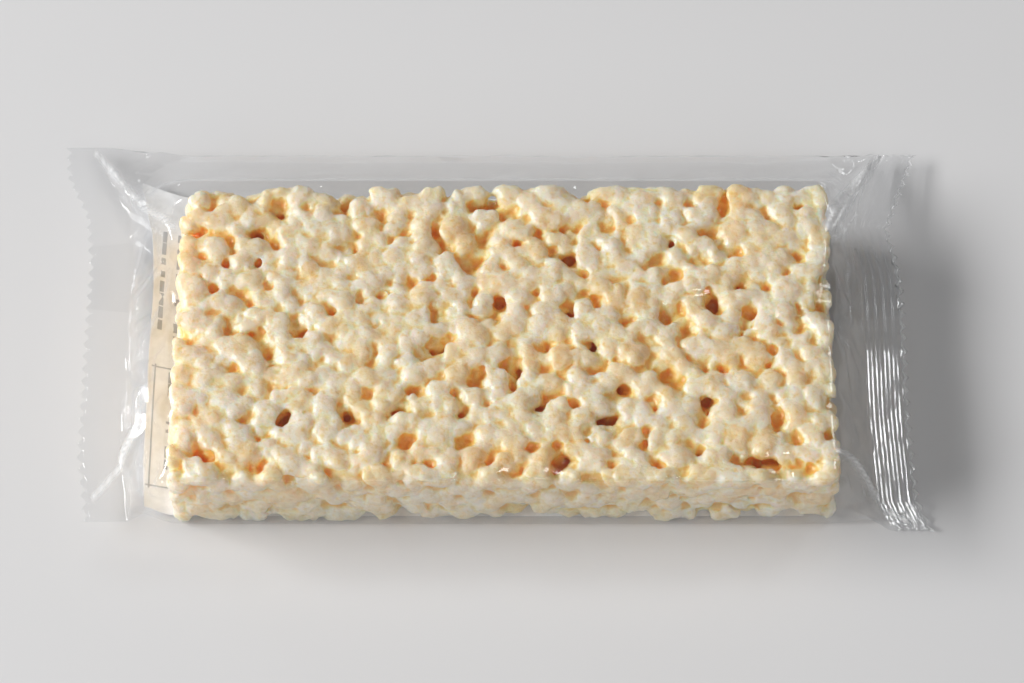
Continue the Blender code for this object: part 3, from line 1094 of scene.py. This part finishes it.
over_points, over_slack = shape_layer(over_rings, 1)
under_points, under_slack = shape_layer(under_rings, -1)


# %% Mesh of the bag
def there_and_back(over, under):
    """Joins what is known of both layers: each ring goes over the bar and comes back under it."""
    return np.concatenate([over, under[:, ::-1]], axis=1)


def bag_mesh(name):
    """Joins both layers to one closed form and stores what the folding tree needs on its points."""
    count = COLUMNS + 1
    rows = len(over_rings)
    ring_size = 2 * count
    faces = []
    for r in range(rows - 1):
        for i in range(ring_size):
            a, b = r * ring_size + i, r * ring_size + (i + 1) % ring_size
            faces.append((a, b, b + ring_size, a + ring_size))
    for r, order in ((0, 1), (rows - 1, -1)):
        for i in range(count - 1):
            a, b = r * ring_size + i, r * ring_size + ring_size - 1 - i
            faces.append((a, b, b - 1, a + 1)[::order])
    points = there_and_back(over_points, under_points).reshape(-1, 3)
    made = object_from(name, to_metres(points), faces)
    depth = [d if g == 1 else -1.0 for _, g, d in over_rings]
    share = np.linspace(0, 1, count)
    flat = np.zeros((rows, count))
    known = {
        "slack": there_and_back(over_slack, under_slack),
        "seal_depth": np.repeat(depth, ring_size),
        "seal_share": np.tile([*share, *share[::-1]], rows),
        "layer": there_and_back(flat, flat + 1),
        # Strength of the painted highlight along creases and on the saw's cut, for the film material
        "painted_glint": there_and_back(painted_glints(over_points), flat),
    }
    for label, values in known.items():
        write_value(made.data, label, values.ravel())
    return made


bag = bag_mesh("clear_bag")
print("bag triangles", count_triangles(bag))

# %% [markdown]
# ## Crumples, ribs and saw teeth
#
# Small folds make flat facets that meet in sharp lines. The distance to the nearest edge of a
# Voronoi pattern is just that: a roof over every cell. It is added along the film's normal, scaled
# by how free the film is. The jaws' ribs and the saw's teeth repeat along the seals, so the same
# tree makes them from each point's place on its seal. The ribs have flat tops, because only a flat
# mirrors the lamp along its whole length. A slight sway, and teeth that curl each by its own
# amount, keep the seals from looking ruled.

# %% Tree that folds, crimps and saws the film
# Two goes of crumpling: the share of the cells' size, and the share of their height
CRUMPLES = ((1.0, 1.0), (0.4, 0.12))
ROOF_LEVEL = 0.22
RIB_FLATNESS = 2.5
SWAY_STRETCH = (1.0, 0.25, 0.0)
SWAY_SCALE = 700.0
TEETH_FROM = 0.8
# Keeps the numbers of the left seal's teeth apart from those of the right seal's
MORE_THAN_TEETH = 100.0


def crumple(tree, given, geometry, size_share, height_share):
    """Moves film along its normal by the roofs of a Voronoi pattern."""
    where = result_of(tree, "GeometryNodeInputPosition")
    scale = reckon(tree, "DIVIDE", 1.0 / size_share, given["Crumple Size"])
    shift = result_of(tree, "ShaderNodeCombineXYZ", {"Z": value_of(tree, "layer")})
    spot = result_of(tree, "ShaderNodeVectorMath", {0: where, 1: shift}, operation="ADD")
    cells = result_of(
        tree,
        "ShaderNodeTexVoronoi",
        {"Vector": spot, "Scale": scale},
        voronoi_dimensions="3D",
        feature="DISTANCE_TO_EDGE",
    )
    roof = reckon(tree, "SUBTRACT", ROOF_LEVEL, cells)
    free = product(tree, value_of(tree, "slack"), height_share)
    return pushed_out(tree, geometry, product(tree, roof, free, given["Crumple Height"]))


def ribs(tree, given, depth, where, on_left):
    """Height of the ribs across a seal's depth, with a slight sway. The left seal has less."""
    in_seal = reckon(tree, "GREATER_THAN", depth, 0.0)
    turn = product(tree, depth, given["Ribs"], 2 * pi)
    wave = product(tree, reckon(tree, "SINE", turn), RIB_FLATNESS)
    wave = reckon(tree, "MAXIMUM", reckon(tree, "MINIMUM", wave, 1.0), -1.0)
    less = reckon(tree, "SUBTRACT", given["Left Rib Share"], 1.0)
    less = reckon(tree, "MULTIPLY_ADD", on_left, less, 1.0)
    rib = product(tree, wave, given["Rib Depth"], in_seal, less)
    inputs = {0: where, 1: SWAY_STRETCH}
    stretched = result_of(tree, "ShaderNodeVectorMath", inputs, operation="MULTIPLY")
    sway = reckon(tree, "SUBTRACT", noise(tree, stretched, SWAY_SCALE, 1.0), 0.5)
    sway = product(tree, sway, given["Seal Sway"])
    return reckon(tree, "MULTIPLY_ADD", sway, in_seal, rib), less


def crimp_and_saw(tree, given, geometry):
    """Ribs across each seal's depth, and teeth along its outer edge."""
    depth = value_of(tree, "seal_depth")
    where = result_of(tree, "GeometryNodeInputPosition")
    x = result_of(tree, "ShaderNodeSeparateXYZ", {0: where})
    on_left = reckon(tree, "LESS_THAN", x, 0.0)
    rib, less = ribs(tree, given, depth, where, on_left)
    count = product(tree, value_of(tree, "seal_share"), given["Teeth"])
    edge = between(tree, depth, TEETH_FROM, 1.0)
    bite = product(tree, reckon(tree, "PINGPONG", count, 0.5), 2.0, given["Tooth Depth"], edge)
    inward = product(tree, reckon(tree, "SIGN", x), -1.0)
    number = reckon(tree, "FLOOR", reckon(tree, "ADD", count, 0.5))
    number = reckon(tree, "MULTIPLY_ADD", on_left, MORE_THAN_TEETH, number)
    chance = result_of(tree, "ShaderNodeTexWhiteNoise", {"W": number}, noise_dimensions="1D")
    curl = reckon(tree, "SUBTRACT", chance, 0.5)
    rise = reckon(tree, "ADD", rib, product(tree, curl, given["Tooth Curl"], edge, less))
    push = {"X": product(tree, bite, inward), "Z": rise}
    return moved(tree, geometry, result_of(tree, "ShaderNodeCombineXYZ", push))


def film_tree(inputs):
    tree, given = new_geometry_tree("fold_film", inputs)
    folded = given["Geometry"]
    for size_share, height_share in CRUMPLES:
        folded = crumple(tree, given, folded, size_share, height_share)
    return end_tree(tree, crimp_and_saw(tree, given, folded), given["Film"])


film_inputs = {
    "Crumple Size": 7.5 * MM,
    "Crumple Height": 3.0 * MM,
    "Ribs": 5.0,
    "Rib Depth": 0.15 * MM,
    "Left Rib Share": 0.15,
    "Seal Sway": 0.10 * MM,
    "Teeth": 32.0,
    "Tooth Depth": 0.8 * MM,
    "Tooth Curl": 0.5 * MM,
    "Film": CLEAR_FILM,
}
run_tree("clear_bag", film_tree(film_inputs), film_inputs, start=bag)
bag.data.shade_smooth()
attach(bag, "root")
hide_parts("clear_wrap")

# %% [markdown]
# ## The seam and the print under the bar
#
# The tube's lengthwise seam is a fin of two layers of film, pressed together and folded flat under
# the bar. The print is a field of white ink on the bag's floor, with rows of small grey bars in
# place of its words. Both follow the bag's lower layer exactly, so both are made from a stretch of
# that layer's own points, moved a hair along their normals and closed to a thin sheet.

# %% Thin sheets that follow the bag's floor
LOWEST = 0.02
SHARP_ANGLE = radians(50)
folded = to_millimetres(read_points(bag.data))
floor_layer = folded.reshape(len(over_rings), 2 * (COLUMNS + 1), 3)[:, COLUMNS + 1:][:, ::-1]
upwards = grid_normals(floor_layer, 1)
upwards *= np.sign(upwards[:, :, 2:])


def stretch_of_floor(x_from, x_to, y_from, y_to, step):
    """Rows and columns of the bag's lower layer that cover this stretch, as two index arrays."""
    y = floor_layer[len(over_rings) // 2, :, 1]
    columns = np.flatnonzero((y >= y_from) & (y <= y_to))
    x = floor_layer[:, columns[len(columns) // 2], 0]
    rows = np.flatnonzero((x >= x_from) & (x <= x_to))
    return rows, columns[::step]


def thin_sheet(name, rows, columns, low, high):
    """A closed sheet between two heights over the bag's lower layer, in millimetres."""
    base = floor_layer[np.ix_(rows, columns)]
    up = upwards[np.ix_(rows, columns)]
    sides = np.stack([base + up * low, base + up * high])
    sides[..., 2] = np.maximum(sides[..., 2], LOWEST)
    count, wide = len(rows), len(columns)
    index = np.arange(2 * count * wide).reshape(2, count, wide)
    faces = []
    for i, order in zip(index, (-1, 1)):
        quads = np.stack([i[:-1, :-1], i[1:, :-1], i[1:, 1:], i[:-1, 1:]], -1).reshape(-1, 4)
        faces += [tuple(q[::order]) for q in quads.tolist()]
    rim = [index[:, :-1, 0], index[:, -1, :-1], index[:, :0:-1, -1], index[:, 0, :0:-1]]
    bottom, top = np.concatenate(rim, axis=1)
    faces += np.stack([bottom, np.roll(bottom, -1), np.roll(top, -1), top], -1).tolist()
    made = object_from(name, to_metres(sides.reshape(-1, 3)), faces)
    made.data.shade_smooth()
    made.data.set_sharp_from_angle(angle=SHARP_ANGLE)
    print(name, count_triangles(made), "triangles")
    return made


# %% Seam fin
FIN_STRETCH = (-70, 70, 5.0, 16.5)
seam = thin_sheet("seam_fin", *stretch_of_floor(*FIN_STRETCH, 1), -0.15, -0.04)
seam.data.materials.append(SEAM_FILM)
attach(seam, "root")

# %% White ink
THICKER_INK = 0.93


def ink_material(name, colour):
    """Ink that lies a little thicker, and so darker, in patches."""
    material, tree, shader = new_material(name)
    patchy = cloudiness(tree, 900.0, 0.0, 1.0)
    deep = tuple(THICKER_INK * part for part in colour)
    fill(tree, shader, {
        "Base Color": mixed(tree, patchy, (*deep, 1.0), (*colour, 1.0)),
        "Roughness": cloudiness(tree, 300.0, 0.35, 0.5),
    })
    return material


INK_STRETCH = (-52.3, 44.0, -23.2, 30.2)
white_ink = thin_sheet("white_print", *stretch_of_floor(*INK_STRETCH, 2), 0.02, 0.05)
white_ink.data.materials.append(ink_material("white_ink", (0.955, 0.975, 1.0)))
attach(white_ink, "root")

# %% [markdown]
# ## Rows of small print
#
# Words aren't copied, so each word becomes a plain grey bar. The bars repeat in rows, which is work
# for Geometry Nodes: a grid gives one point for each word, and each point gets a small plate whose
# length is drawn at random. A ruled border is the same thing with plates as long as their spacing.
# The flat rows are then dropped onto the bag's floor, which rises towards the seal.


# %% Tree that sets rows of bars
def rows_tree(inputs):
    tree, given = new_geometry_tree("set_rows", inputs)
    inputs = {
        "Size X": given["Breadth"],
        "Size Y": given["Length"],
        "Vertices X": given["Rows"],
        "Vertices Y": given["Words"],
    }
    grid = result_of(tree, "GeometryNodeMeshGrid", inputs)
    gaps = reckon(tree, "SUBTRACT", given["Words"], 1.0)
    pitch = reckon(tree, "DIVIDE", given["Length"], gaps)
    long = product(tree, pitch, random_number(tree, given["Shortest"], 1.0, given["Seed"]))
    size = {"X": given["Bar Width"], "Y": long, "Z": 1.0}
    inputs = {"Probability": given["Share Kept"], "Seed": given["Seed"]}
    kept = place(tree, "FunctionNodeRandomValue", inputs, data_type="BOOLEAN").outputs[3]
    inputs = {
        "Points": grid,
        "Selection": kept,
        "Instance": result_of(tree, "GeometryNodeMeshCube", {"Size": (1.0, 1.0, 1.0)}),
        "Scale": result_of(tree, "ShaderNodeCombineXYZ", size),
    }
    laid = result_of(tree, "GeometryNodeInstanceOnPoints", inputs)
    return end_tree(tree, laid, given["Ink"])


# %% Set the rows and drop them on the bag's floor
WORD_PITCH = 1.9 * MM
RULE_PARTS = 24
PRINT_LOW, PRINT_HIGH = 0.01, 0.07
# For each block: its sides in X and in Y, the pitch of its rows and the width of its bars
TEXT_BLOCK = ((-50.8, -24.4), (5.4, 23.0), 2.2, 0.62)
TABLE_BLOCK = ((-48.9, -29.1), (-17.0, -0.8), 2.2, 0.55)
LONG_RULES = ((-51.1, -27.5), (-18.6, 0.7), 23.6, 0.22)
CROSS_RULES = ((-51.1, -27.5), (-18.6, 0.7), 19.3, 0.22)
# What the tree starts with. Each block then gives its own sizes.
row_inputs = {
    "Length": 20 * MM,
    "Breadth": 20 * MM,
    "Words": 10,
    "Rows": 10,
    "Bar Width": 0.6 * MM,
    "Shortest": 0.3,
    "Share Kept": 1.0,
    "Seed": 3,
    "Ink": ink_material("grey_ink", (0.48, 0.50, 0.54)),
}
ROWS = rows_tree(row_inputs)


def floor_under(spots):
    """Height and normal of the bag's lower layer at places in millimetres from the bar's middle."""
    grid = floor_layer.reshape(-1, 3)
    normals = upwards.reshape(-1, 3)
    tree = kdtree.KDTree(len(grid))
    for i, point in enumerate(grid):
        tree.insert((point[0], point[1], 0.0), i)
    tree.balance()
    nearest = np.array([tree.find((x, y, 0.0))[1] for x, y in spots])
    base, up = grid[nearest], normals[nearest]
    slope = ((spots - base[:, :2]) * up[:, :2]).sum(1) / up[:, 2]
    return base[:, 2] - slope, up


def set_rows(name, block, shortest, kept, words=None, turned=False):
    """Rows of bars in one block, along Y or, when turned, along X."""
    (x_from, x_to), (y_from, y_to), pitch, width = block
    breadth, length = x_to - x_from, y_to - y_from
    if turned:
        breadth, length = length, breadth
    sizes = {
        "Length": length * MM,
        "Breadth": breadth * MM,
        "Words": words or round(length * MM / WORD_PITCH),
        "Rows": round(breadth / pitch) + 1,
        "Bar Width": width * MM,
        "Shortest": shortest,
        "Share Kept": kept,
    }
    rows = run_tree(name, ROWS, row_inputs | sizes)
    flat = read_points(rows.data)
    spots = flat[:, :2] / MM
    if turned:
        spots = spots[:, ::-1] * (1, -1)
    spots = spots + ((x_from + x_to) / 2, (y_from + y_to) / 2)
    height, up = floor_under(spots)
    lift = np.where(flat[:, 2] > 0, PRINT_HIGH, PRINT_LOW)
    dropped = np.column_stack([spots, height]) + up * lift[:, None]
    write_points(rows.data, to_metres(dropped))
    return rows


small_print = set_rows("small_print", TEXT_BLOCK, 0.3, 0.94)
parts = [
    small_print,
    set_rows("table_print", TABLE_BLOCK, 0.3, 0.7),
    set_rows("long_rules", LONG_RULES, 1.0, 1.0, words=RULE_PARTS),
    set_rows("cross_rules", CROSS_RULES, 1.0, 1.0, words=RULE_PARTS, turned=True),
]
with bpy.context.temp_override(active_object=small_print, selected_editable_objects=parts):
    bpy.ops.object.join()
print("small print", count_triangles(small_print), "triangles")
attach(small_print, "root")

# %% [markdown]
# ## The floor
#
# A plain pale surface, wide enough to fill every view. It belongs to the stage, not to the object.

# %% Floor
FLOOR_HALF = 1.5
corners = ((-1, -1), (1, -1), (1, 1), (-1, 1))
floor = object_from("floor", [(FLOOR_HALF * x, FLOOR_HALF * y, 0) for x, y in corners], [(0, 1, 2, 3)])
pale, tree, shader = new_material("pale_floor")
fill(tree, shader, {"Base Color": (0.72, 0.72, 0.728, 1.0), "Roughness": 0.55})
floor.data.materials.append(pale)
